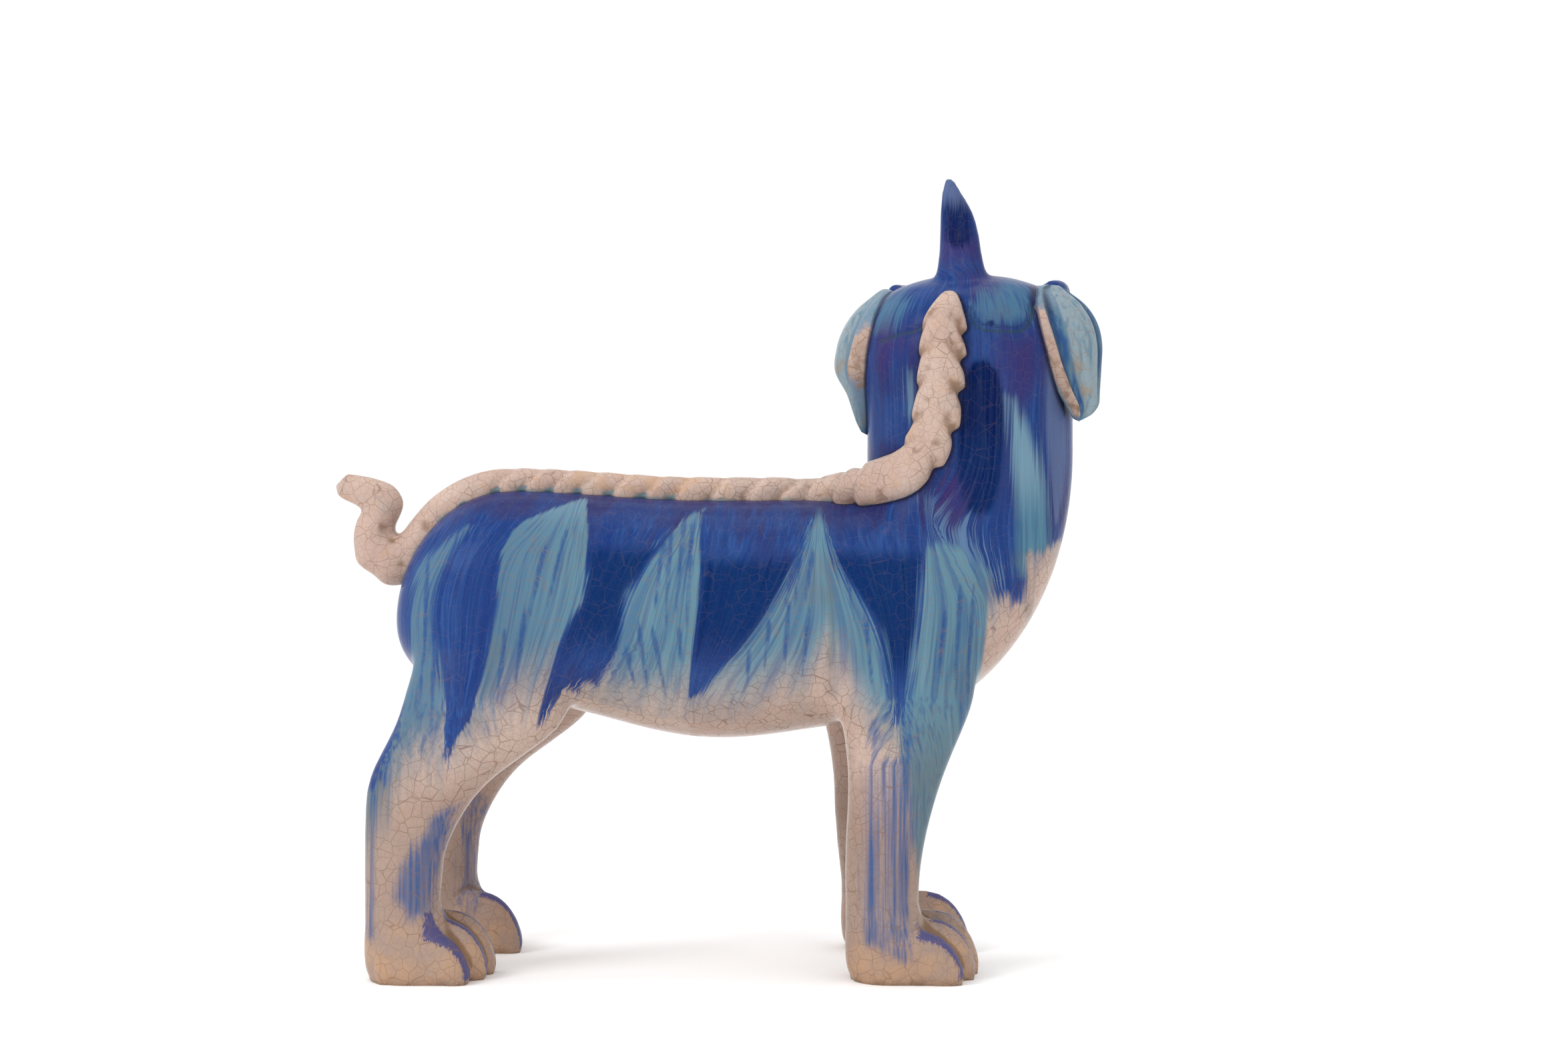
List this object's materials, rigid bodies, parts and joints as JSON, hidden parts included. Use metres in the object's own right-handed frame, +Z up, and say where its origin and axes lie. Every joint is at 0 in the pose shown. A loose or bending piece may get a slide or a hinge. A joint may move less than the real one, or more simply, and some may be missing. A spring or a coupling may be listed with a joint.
{
  "type": "foo dog figure",
  "caption": "Hollow crackle-glazed ceramic foo dog that stands on a shelf as an ornament, head turned over its left shoulder, with a twisted spine ridge, curled tail and horn.",
  "frame": {"origin": "on the floor under the middle of the figure's overall box", "axes": "+X from rump to chest, +Y to the figure's left, which is the side it looks to, +Z up"},
  "size_m": [0.2918, 0.1202, 0.3],
  "materials": {
    "cobalt_glaze": "gloss",
    "turquoise_glaze": "gloss",
    "cream_glaze": "gloss",
    "tooth_glaze": "gloss",
    "eye_glaze": "gloss",
    "tongue_glaze": "gloss"
  },
  "bodies": {
    "root": {"right_shell": "cobalt_glaze", "left_shell": "cobalt_glaze", "head_shell": "cobalt_glaze", "horn": "cobalt_glaze", "muzzle": "cobalt_glaze", "right_brow": "cobalt_glaze", "left_brow": "cobalt_glaze", "right_ear": "turquoise_glaze", "left_ear": "turquoise_glaze", "nose": "turquoise_glaze", "beard": "turquoise_glaze", "spine_ridge": "cream_glaze", "tail": "cream_glaze", "lower_jaw": "cream_glaze", "right_hind_leg": "cream_glaze", "left_hind_leg": "cream_glaze", "right_fore_leg": "cream_glaze", "left_fore_leg": "cream_glaze", "right_hind_paw": "cream_glaze", "left_hind_paw": "cream_glaze", "right_fore_paw": "cream_glaze", "left_fore_paw": "cream_glaze", "upper_teeth": "tooth_glaze", "lower_teeth": "tooth_glaze", "right_eye": "eye_glaze", "left_eye": "eye_glaze", "tongue": "tongue_glaze"}
  },
  "joints": []
}
